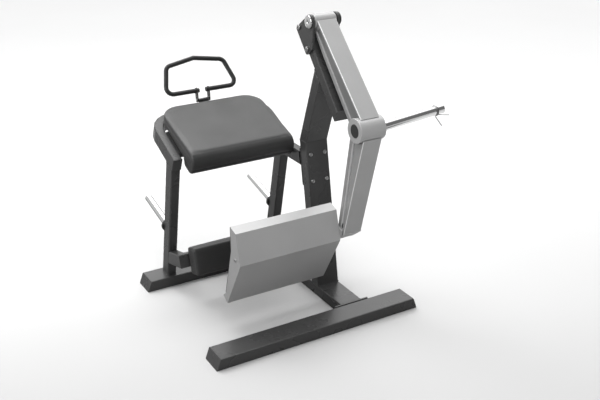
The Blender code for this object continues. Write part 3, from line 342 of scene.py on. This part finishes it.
def turns(count):
    """Even steps round a full turn, in radians."""
    return [2 * math.pi * k / count for k in range(count)]


# Directions and measures read from the CAD nodes
def side_turn(degrees):
    """Direction in the side view, measured from +Y towards +Z."""
    return Vector((0, math.cos(math.radians(degrees)), math.sin(math.radians(degrees))))


def points_of(node):
    source = nodes[node]
    return [source.matrix_world @ v.co for v in source.data.vertices]


def reach(node, way):
    """How far a node reaches along a direction: its least and its greatest."""
    levels = [way.dot(p) for p in points_of(node)]
    return min(levels), max(levels)


def middle_of(node):
    spots = points_of(node)
    return (Vector(map(min, zip(*spots))) + Vector(map(max, zip(*spots)))) / 2


def top_of(node, axis):
    """The middle of a node's face that lies furthest along an axis."""
    spots = points_of(node)
    most = max(axis.dot(p) for p in spots)
    face = [p for p in spots if axis.dot(p) > most - 0.0003]
    return sum(face, Vector()) / len(face)


def half_height(node):
    low, high = reach(node, Z)
    return (high - low) / 2


# Cushions: stuffed covers over the CAD forms, swollen by a short cloth run
cover_voxel = 0.0045
cloth_frames = 20
cloth_pressure = 2.5
smoothing_rounds = 12


def stuffed(node, held, proud, cap):
    """A cushion's own form, remeshed evenly, set proud and blown up by up to a cap."""
    item = copy_of(node, node + "_cover", merge=0.00002)
    grid = item.modifiers.new("even", "REMESH")
    grid.mode = "VOXEL"
    grid.voxel_size = cover_voxel
    apply_modifiers(item)
    bm = bmesh.new()
    bm.from_mesh(item.data)
    loose = [v for v in bm.verts if not held(v.co)]
    bmesh.ops.smooth_vert(bm, verts=loose, factor=0.5, use_axis_x=True,
                          use_axis_y=True, use_axis_z=True)
    bm.normal_update()
    for v in loose:
        v.co += v.normal * proud
    bm.to_mesh(item.data)
    bm.free()
    blow_up(item, held, cap)
    return item


def blow_up(item, held, cap):
    """Lets air pressure swell a cover, then keeps only an even rise along its normals."""
    verts = item.data.vertices
    start = [v.co.copy() for v in verts]
    group = item.vertex_groups.new(name="held")
    group.add([v.index for v in verts if held(v.co)], 1.0, "REPLACE")
    cloth = item.modifiers.new("cloth", "CLOTH")
    rules = cloth.settings
    rules.quality = 5
    rules.mass = 0.2
    rules.tension_stiffness = 25
    rules.compression_stiffness = 25
    rules.shear_stiffness = 8
    rules.bending_stiffness = 2.0
    rules.use_pressure = True
    rules.uniform_pressure_force = cloth_pressure
    rules.vertex_group_mass = "held"
    rules.effector_weights.gravity = 0
    cloth.point_cache.frame_start = 1
    cloth.point_cache.frame_end = cloth_frames
    for frame_number in range(1, cloth_frames + 1):
        scene.frame_set(frame_number)
    done = item.evaluated_get(bpy.context.evaluated_depsgraph_get()).to_mesh()
    ends = [v.co.copy() for v in done.vertices]
    item.modifiers.clear()
    item.vertex_groups.clear()
    outs = [v.normal.copy() for v in verts]
    rise = [min(cap, max(0.0, (b - a).dot(n))) for a, b, n in zip(start, ends, outs)]
    near = [[] for _ in verts]
    for edge in item.data.edges:
        a, b = edge.vertices
        near[a].append(b)
        near[b].append(a)
    for _ in range(smoothing_rounds):
        rise = [0.5 * level + 0.5 * sum(rise[k] for k in near[i]) / len(near[i])
                for i, level in enumerate(rise)]
    for v, a, n, level in zip(verts, start, outs, rise):
        v.co = a + n * level
    scene.frame_set(1)


def finish_cover(item, node, look):
    item.data.materials.clear()
    item.data.materials.append(looks[look])
    item.data.shade_smooth()
    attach(item, "frame")
    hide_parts(node)


seat_along = side_turn(22.5)
seat_up = side_turn(112.5)
shin_out = side_turn(165.0)
shin_up = side_turn(75.0)
torso_back = reach("torso_board", seat_up)[1]
shin_back = reach("shin_board", shin_out)[1]
board_margin = 0.004


def on_torso_board(place):
    return abs(seat_up.dot(place) - torso_back) < board_margin


def on_shin_board(place):
    return abs(shin_out.dot(place) - shin_back) < board_margin


torso = stuffed("torso_pad", on_torso_board, proud=0.0022, cap=0.0040)
finish_cover(torso, "torso_pad", "upholstery")
shin = stuffed("shin_pad", on_shin_board, proud=0.0008, cap=0.0035)
finish_cover(shin, "shin_pad", "upholstery")


# Steel parts cut more finely than the CAD ones they stand for
def joined_cut(node, name, cuts, look, body, edge=0.0, core=None, tones=None):
    """A CAD node's own form, filled by a core, with cutters taken out of it."""
    item = copy_of(node, name, merge=0.00001)
    tools = []
    steps = [("UNION", core)] if core else []
    steps += [("DIFFERENCE", cut) for cut in cuts]
    for operation, cut in steps:
        bmesh.ops.recalc_face_normals(cut, faces=cut.faces)
        tool = placed(name + "_tool", mesh_from(name + "_tool", cut))
        tools.append(tool)
        step = item.modifiers.new("cut", "BOOLEAN")
        step.operation = operation
        step.solver = "EXACT"
        step.object = tool
    if edge:
        soft = item.modifiers.new("edges", "BEVEL")
        soft.width = edge
        soft.segments = 2
        soft.limit_method = "ANGLE"
        soft.angle_limit = math.radians(40)
        soft.use_clamp_overlap = True
    item.data.shade_smooth()
    weigh = item.modifiers.new("even_faces", "WEIGHTED_NORMAL")
    weigh.keep_sharp = True
    apply_modifiers(item)
    for tool in tools:
        bpy.data.objects.remove(tool, do_unlink=True)
    done = item.data
    done.materials.clear()
    done.materials.append(looks[look])
    # Face numbers that the arm paint turns into painted shade and painted highlights.
    for tone, chosen in (tones or {}).items():
        layer = done.attributes.new(tone, "FLOAT", "FACE").data
        for face in done.polygons:
            layer[face.index].value = chosen(face.center, face.normal)
    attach(item, body)
    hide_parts(node)
    return item


def wedge(rows):
    """A closed bar through cross-sections of four points each."""
    bm = bmesh.new()
    join_loops(bm, [[bm.verts.new(p) for p in row] for row in rows])
    return bm


# The two arm tubes: grooved sides, round shadow gaps at the barrel and the sleeve
joints = {joint["name"]: joint for joint in frame["record"]["behaviour"]["joints"]}
pivot = Vector(joints["arm_swing"]["pos_m"])
elbow = middle_of("elbow_sleeve")
elbow.x = pivot.x
upper_down = (elbow - pivot).normalized()
upper_front = upper_down.cross(X)
lower_down = side_turn(285.5)
lower_front = lower_down.cross(X)
arm_left, arm_right = reach("upper_arm", X)

joint_gap = 0.0028
arm_edge = 0.0010
groove_slope = 0.004
cutter_overlap = 0.004
core_inset = 0.003
# Painted shade on the arms' sides: how deep it reaches from a side face, and how dark it
# paints the side faces and the groove floors.
skin_depth = 0.0012
toned_depth = 0.012
painted_side_shade = 0.50
painted_groove_shade = 0.95


def side_cuts(start, down, front, deep, shallow, rows):
    """Cutters on both sides of an arm, deepest at the back; rows give (along, back, front)."""
    made = []
    for face, out in ((arm_left, -1), (arm_right, 1)):
        sections = []
        for along, back, ahead in rows:
            spot = start + down * along
            corners = [(deep, back + deep * 0.3), (shallow, ahead - groove_slope),
                       (-cutter_overlap, ahead), (-cutter_overlap, back)]
            sections.append([Vector((face - out * inward, spot.y, spot.z)) + front * level
                             for inward, level in corners])
        made.append(wedge(sections))
    return made


def arm_core(start, down, front, rows):
    """A bar inside an arm's hollow, so that a groove has a floor."""
    left = arm_left + core_inset
    right = arm_right - core_inset
    sections = []
    for along, back, ahead in rows:
        spot = start + down * along
        corners = ((left, back), (left, ahead), (right, ahead), (right, back))
        sections.append([Vector((x, spot.y, spot.z)) + front * level for x, level in corners])
    return wedge(sections)


def drum(centre, radius):
    """A closed cylinder across the machine, round a pivot or a sleeve."""
    bm = bmesh.new()
    bmesh.ops.create_cone(bm, cap_ends=True, segments=96, radius1=radius, radius2=radius,
                          depth=0.4)
    bm.transform(Matrix.Translation(centre) @ Matrix.Rotation(math.pi / 2, 4, "Y"))
    return bm


def arm_tones(front):
    """Painted light on an arm: painted shade on its sides and grooves, a painted highlight on
    its front corners.
    """
    def painted_shade(place, facing):
        inside = min(place.x - arm_left, arm_right - place.x)
        if abs(facing.x) < 0.85 or inside > toned_depth:
            return 0.0
        return painted_groove_shade if inside > skin_depth else painted_side_shade

    # Painted highlight on the rounded front corners.
    def painted_highlight(place, facing):
        return 1.0 if 0.2 < abs(facing.x) < 0.97 and facing.dot(front) > 0.2 else 0.0
    return {"painted_shade": painted_shade, "painted_highlight": painted_highlight}


barrel_radius = half_height("pivot_barrel") + joint_gap
sleeve_radius = half_height("elbow_sleeve") + joint_gap
upper_groove = [(0.052, -0.0150, 0.0260), (0.570, -0.0270, 0.0500)]
upper_core = [(0.040, -0.024, 0.031), (0.560, -0.046, 0.056)]
upper_cuts = side_cuts(pivot, upper_down, upper_front, 0.0075, 0.0030, upper_groove)
upper_cuts += [drum(pivot, barrel_radius), drum(elbow, sleeve_radius)]
joined_cut("upper_arm", "upper_arm_shell", upper_cuts, "arm_paint", "swing_arm", arm_edge,
           arm_core(pivot, upper_down, upper_front, upper_core), arm_tones(upper_front))
lower_groove = [(0.055, -0.0240, 0.0000), (0.583, 0.0255, 0.0440)]
lower_core = [(0.050, -0.0500, 0.0560), (0.560, 0.0000, 0.0560)]
lower_cuts = side_cuts(elbow, lower_down, lower_front, 0.0110, 0.0030, lower_groove)
lower_cuts += [drum(elbow, sleeve_radius)]
joined_cut("lower_arm", "lower_arm_shell", lower_cuts, "arm_paint", "swing_arm", arm_edge,
           arm_core(elbow, lower_down, lower_front, lower_core), arm_tones(lower_front))


# Bolt heads and the pivot's cap, with hexagon sockets
def hex_bar(centre, axis, across, depth):
    """A six-sided bar that stands half in a head and half out of it."""
    bm = bmesh.new()
    bmesh.ops.create_cone(bm, cap_ends=True, segments=6, radius1=across / 2,
                          radius2=across / 2, depth=depth * 2)
    bm.transform(Matrix.Translation(centre)
                 @ Z.rotation_difference(axis).to_matrix().to_4x4())
    return bm


mast_lean = 9.6
mast_front = side_turn(180 - mast_lean)
socketed = [("mast_bolt_%d" % n, "steel", "frame", mast_front, 0.0085, 0.0032)
            for n in (1, 2, 3, 4)]
socketed += [("bracket_bolt_upper", "steel", "frame", -X, 0.0120, 0.0060),
             ("bracket_bolt_lower", "steel", "frame", -X, 0.0120, 0.0060),
             ("kick_bolt", "steel", "swing_arm", -X, 0.0075, 0.0030),
             ("pivot_bolt", "chrome", "frame", -X, 0.0140, 0.0070)]
for node, look, body, axis, across, depth in socketed:
    socket = hex_bar(top_of(node, axis), axis, across, depth)
    joined_cut(node, node + "_socketed", [socket], look, body)


# Weld beads round the ends of the tubes
def foot_ring(node, way, depth=0.004):
    """The outline of a node's end that lies furthest along a direction."""
    spots = points_of(node)
    most = max(way.dot(p) for p in spots)
    face = [p for p in spots if way.dot(p) > most - depth]
    middle = sum(face, Vector()) / len(face)
    across = way.orthogonal().normalized()
    ahead = way.cross(across)
    flat = [((p - middle).dot(across), (p - middle).dot(ahead)) for p in face]
    order = convex_hull_2d(flat)
    level = way * (most - way.dot(middle))
    return [middle + level + across * flat[i][0] + ahead * flat[i][1] for i in order]


def spread(path, step, closed=True):
    """The same path with points at an even pace."""
    ends = path + path[:1] if closed else path
    points = []
    for a, b in zip(ends, ends[1:]):
        parts = max(1, round((b - a).length / step))
        points += [a.lerp(b, k / parts) for k in range(parts)]
    return points if closed else points + [ends[-1]]


bead_step = 0.0035
bead_sunk = 0.0004


def weld_bead(name, ring, way, radius=0.0030):
    """A rippled bead that fills the corner at the end of a tube, never below the floor."""
    path = spread(ring, bead_step)
    middle = sum(path, Vector()) / len(path)
    bm = bmesh.new()
    loops = []
    for i, place in enumerate(path):
        along = (path[(i + 1) % len(path)] - path[i - 1]).normalized()
        out = along.cross(way).normalized()
        if out.dot(place - middle) < 0:
            out = -out
        swell = radius * (1 + 0.10 * math.sin(i * 2.1) + 0.05 * math.sin(i * 0.7))
        centre = place - way * bead_sunk
        centre.z = max(centre.z, swell)
        loops.append([bm.verts.new(centre + (out * math.cos(a) - way * math.sin(a)) * swell)
                      for a in turns(8)])
    join_loops(bm, loops, closed=True)
    return piece(name, bm, "frame_paint", angle=80)


head_out = side_turn(139.5)
weld_bead("weld_mast_foot", foot_ring("lower_mast", -Z), -Z)
weld_bead("weld_mast_joint", foot_ring("upper_mast", -Z), -Z, 0.0016)
weld_bead("weld_mast_top", foot_ring("upper_mast", head_out), head_out, 0.0026)
weld_bead("weld_rail_front", foot_ring("main_rail", -Y), -Y, 0.0026)
weld_bead("weld_rail_rear", foot_ring("main_rail", Y), Y, 0.0026)
for side in ("left", "right"):
    weld_bead("weld_%s_leg_foot" % side, foot_ring(side + "_leg", -Z), -Z)
    weld_bead("weld_%s_leg_top" % side, foot_ring(side + "_leg", seat_up), seat_up, 0.0024)
weld_bead("weld_link_rear", foot_ring("seat_link_tube", Y, 0.012), seat_along, 0.0022)

# Seams on the cushions, laid on their covers, in the lighter seam leather that paints a
# highlight along them
seam_radius = 0.0013
seam_flat = 0.7


def rounded(corners, steps):
    """A path through (place, radius) corners, each one rounded; its ends stay."""
    points = [corners[0][0]]
    for (before, _), (at, radius), (after, _) in zip(corners, corners[1:], corners[2:]):
        back = (before - at).normalized()
        ahead = (after - at).normalized()
        for k in range(steps + 1):
            u = k / steps
            points.append(at + back * radius * (1 - u) ** 2 + ahead * radius * u ** 2)
    return points + [corners[-1][0]]


def flat_path(corners, steps, pace):
    """A rounded path in a plane from (across, up, radius) corners, with even points."""
    path = rounded([(Vector((across, up, 0)), radius) for across, up, radius in corners],
                   steps)
    return spread(path, pace, False)


def lay_seam(name, cover, rays):
    """A flattened bead on a cover, where rays given as (start, way) meet it."""
    bm = bmesh.new()
    bm.from_mesh(cover.data)
    shell = BVHTree.FromBMesh(bm)
    bm.free()
    path = []
    lift = []
    for start, way in rays:
        hit, normal, _, _ = shell.ray_cast(start, way)
        if hit is None:
            continue
        if path and (hit - path[-1]).length < seam_radius * 1.2:
            continue
        path.append(hit)
        lift.append(-normal if normal.dot(way) > 0 else normal)
    bm = bmesh.new()
    loops = []
    for i, place in enumerate(path):
        along = (path[min(i + 1, len(path) - 1)] - path[max(i - 1, 0)]).normalized()
        up = (lift[i] - along * lift[i].dot(along)).normalized()
        across = along.cross(up)
        loops.append([bm.verts.new(place + (across * math.cos(a)
                                            + up * seam_flat * math.sin(a)) * seam_radius)
                      for a in turns(8)])
    join_loops(bm, loops)
    return piece(name, bm, "upholstery_seam")


ray_start = 0.05
torso_left, torso_right = reach("torso_pad", X)
pad_half = (torso_right - torso_left) / 2
seat_origin = (X * middle_of("torso_pad").x + seat_along * reach("torso_pad", seat_along)[0]
               + seat_up * reach("torso_board", seat_up)[0])


def seat_place(x, along, up):
    return seat_origin + X * x + seat_along * along + seat_up * up


def torso_rays():
    """Rays that meet the cover low on its left side, round its back and on its right."""
    corner = 0.100
    corner_rays = 24
    back_rays = 64
    side_end = 0.376
    side_up = 0.034
    path = flat_path([(0.145, -0.020, 0), (0.030, -0.020, 0.016), (0.019, 0.070, 0.030),
                      (side_end, side_up, 0)], 8, 0.006)
    left = [(seat_place(-pad_half - ray_start, p.x, p.y), X) for p in path]
    right = [(seat_place(pad_half + ray_start, p.x, p.y), -X) for p in path]
    across = pad_half - corner
    turned = []
    for way in (-1, 1):
        arc = []
        for k in range(1, corner_rays):
            a = math.radians(90 * k / corner_rays)
            out = X * (way * math.cos(a)) + seat_along * math.sin(a)
            arc.append((seat_place(way * across, side_end, side_up) + out * 0.2, -out))
        turned.append(arc)
    back = [(seat_place(-across + 2 * across * k / back_rays, 0.6, side_up), -seat_along)
            for k in range(1, back_rays)]
    return left + turned[0] + back + turned[1][::-1] + right[::-1]


lay_seam("torso_pad_seam", torso, torso_rays())

shin_low, shin_high = reach("shin_pad", shin_up)
shin_near, shin_far = reach("shin_pad", shin_out)
shin_left, shin_right = reach("shin_pad", X)
shin_path = flat_path([(shin_near + 0.012, shin_low + 0.010, 0),
                       (shin_far - 0.009, shin_low + 0.010, 0.012),
                       (shin_far - 0.009, shin_high - 0.010, 0.012),
                       (shin_near + 0.012, shin_high - 0.010, 0)], 6, 0.005)
for side, face, way in (("left", shin_left - ray_start, X),
                        ("right", shin_right + ray_start, -X)):
    rays = [(X * face + shin_out * p.x + shin_up * p.y, way) for p in shin_path]
    lay_seam("shin_pad_seam_" + side, shin, rays)

# Screws that hold the tread, their ends hanging below the kick plate's low flange
flange_turn = 29.5
flange_along = side_turn(flange_turn)
flange_down = side_turn(flange_turn - 90)
screw_radius = 0.0040
screw_length = 0.0200
screw_round = 0.0026
screw_inset = 0.009
screw_drop = 0.0102
lowest = min(points_of("kick_plate"), key=lambda p: p.z)
plate_left, plate_right = reach("kick_plate", X)
for side, part in (("left", 0.035), ("right", 0.87)):
    spot = Vector((plate_left + (plate_right - plate_left) * part, lowest.y, lowest.z))
    spot += flange_along * screw_inset
    bm = bmesh.new()
    bmesh.ops.create_cone(bm, cap_ends=True, segments=20, radius1=screw_radius,
                          radius2=screw_radius, depth=screw_length)
    tip = [e for e in bm.edges if all(v.co.z > 0 for v in e.verts)]
    bmesh.ops.bevel(bm, geom=tip, offset=screw_round, segments=4, profile=0.5,
                    affect="EDGES", material=-1)
    bm.transform(Matrix.Translation(spot + flange_down * screw_drop)
                 @ Z.rotation_difference(flange_down).to_matrix().to_4x4())
    piece("tread_screw_" + side, bm, "steel", "swing_arm")

# Round rubber rings in place of the plain washers at the storage horns' feet
ring_wider = 0.0035
ring_round = 0.0034
rim_margin = 0.0005


def horn_ring(node, horn):
    """A round-edged ring where a horn's washer stands."""
    axis = (top_of(horn, Y) - middle_of(horn)).normalized()
    up = axis.cross(X).normalized()
    low, high = reach(node, axis)
    half = (high - low) / 2
    middle = middle_of(node)
    middle += axis * ((low + high) / 2 - axis.dot(middle))

    def from_axis(place):
        return ((place - middle) - axis * (place - middle).dot(axis)).length

    radii = [from_axis(p) for p in points_of(node)]
    inner = min(radii)
    outer = max(radii) + ring_wider
    bm = bmesh.new()
    corners = [(-half, inner), (-half, outer), (half, outer), (half, inner)]
    verts = [bm.verts.new(middle + axis * along + up * radius) for along, radius in corners]
    edges = [bm.edges.new(pair) for pair in zip(verts, verts[1:] + verts[:1])]
    bmesh.ops.spin(bm, geom=verts + edges, cent=middle, axis=axis, angle=2 * math.pi,
                   steps=48, use_merge=True)
    rims = [e for e in bm.edges
            if all(from_axis(v.co) > outer - rim_margin for v in e.verts)
            and abs((e.verts[0].co - e.verts[1].co).dot(axis)) < rim_margin]
    bmesh.ops.bevel(bm, geom=rims, offset=ring_round, segments=4, profile=0.5,
                    affect="EDGES", material=-1)
    ring = piece(node + "_ring", bm, "black_plastic")
    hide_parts(node)


for side in ("left", "right"):
    horn_ring("storage_washer_" + side, "storage_horn_" + side)


# Floor and plain soft studio light
def floor_material():
    """Pale to the camera, with painted shade in front of the machine; duller in the light and
    the reflections that it lends.
    """
    t = Tree("floor")
    at = t.place()
    to_back_right = (0.506, 0.863, 0.0)
    cloud = t.noise(at, 0.6, 2.0)
    fine = t.noise(at, 90.0, 2.0)
    seen = t.node("ShaderNodeLightPath", "Is Camera Ray")
    shiny = t.node("ShaderNodeLightPath", "Is Glossy Ray")
    far = t.node("ShaderNodeVectorMath", "Value", {0: at, 1: to_back_right},
                 operation="DOT_PRODUCT")
    # Painted shade on the floor seen by the camera: darkest just in front of the machine,
    # grading to white far behind it and lighter again near the camera.
    level = t.ramp(far, -1.6, 1.2, 0.44, 0.77) + t.ramp(far, 1.2, 3.6, 0.0, 0.20)
    level = level + t.ramp(far, -5.0, -2.2, 0.30, 0.0) + t.ramp(cloud, 0.3, 0.7, -0.01, 0.01)
    pale = t.mix(level, grey(0.0), grey(1.0))
    depth = t.node("ShaderNodeSeparateXYZ", "Y", {0: at})
    across = t.node("ShaderNodeSeparateXYZ", "X", {0: at})
    mirrored = t.mix(t.ramp(depth, -1.5, -1.3), grey(0.12), grey(0.22))
    mirrored = t.mix(t.ramp(across + depth * 0.6, 0.42, 0.66), mirrored, grey(0.6))
    away = t.node("ShaderNodeVectorMath", "Value", {0: at}, operation="LENGTH")
    mirrored = t.mix(t.ramp(away, 4.0, 8.0), mirrored, grey(0.6))
    dull = t.mix(shiny, grey(0.44), mirrored)
    t.set(Base_Color=t.mix(seen, dull, pale), Roughness=0.6,
          Normal=t.bump(fine, 0.02, 0.0004))
    t.set(Specular_IOR_Level=0.1)
    return t.material


bm = bmesh.new()
bmesh.ops.create_grid(bm, x_segments=8, y_segments=8, size=16.0)
floor = placed("floor", mesh_from("floor", bm))
floor.data.materials.append(floor_material())

dome_front = 0.16
dome_rear = 2.3
dome_low = 0.55
dome_left = 0.60


def studio_world():
    """A soft dome, bright behind, dim in front, grey low down and on the left; seen white."""
    world = bpy.data.worlds.new("studio")
    scene.world = world
    world.use_nodes = True
    tree = world.node_tree
    back = tree.nodes["Background"]

    def node(kind, *inputs, **settings):
        made = tree.nodes.new(kind)
        for key, value in settings.items():
            setattr(made, key, value)
        for number, value in enumerate(inputs):
            if isinstance(value, bpy.types.NodeSocket):
                tree.links.new(value, made.inputs[number])
            else:
                made.inputs[number].default_value = value
        return made.outputs

    def ramp(value, low, high, to_low, to_high, **settings):
        return node("ShaderNodeMapRange", value, low, high, to_low, to_high, **settings)[0]

    way = node("ShaderNodeTexCoord")["Generated"]
    parts = node("ShaderNodeSeparateXYZ", way)
    level = ramp(parts["Z"], 0.34, 0.43, dome_low, dome_rear)
    level = ramp(parts["X"], -0.46, -0.34, dome_left, level)
    level = ramp(parts["Y"], -0.12, 0.16, dome_front, level, interpolation_type="SMOOTHSTEP")
    seen = node("ShaderNodeLightPath")["Is Camera Ray"]
    level = ramp(seen, 0.0, 1.0, level, 1.0)
    tree.links.new(level, back.inputs["Strength"])
    back.inputs["Color"].default_value = grey(1.0)


studio_world()


def area(name, place, target, size, power):
    """A round area lamp that shines from its place towards a target."""
    light = bpy.data.lights.new(name, "AREA")
    light.shape = "DISK"
    light.size = size
    light.energy = power
    item = placed(name, light)
    item.location = place
    away = Vector(place) - Vector(target)
    item.rotation_euler = away.to_track_quat("Z", "Y").to_euler()
    return item


area("key", (-0.6, 1.6, 4.2), (0.0, 0.0, 0.5), 2.4, 80)
area("over", (-0.5, -2.0, 4.3), (0.0, 0.0, 0.7), 2.4, 74).visible_glossy = False
area("side", (-4.2, 0.4, 2.6), (0.0, 0.0, 0.7), 2.0, 39)
area("front", (-1.6, -4.2, 2.4), (0.0, 0.0, 0.6), 3.0, 47).visible_glossy = False
area("edges", (-4.2, -0.95, 3.05), (0.0, 0.0, 0.8), 1.5, 90).visible_diffuse = False
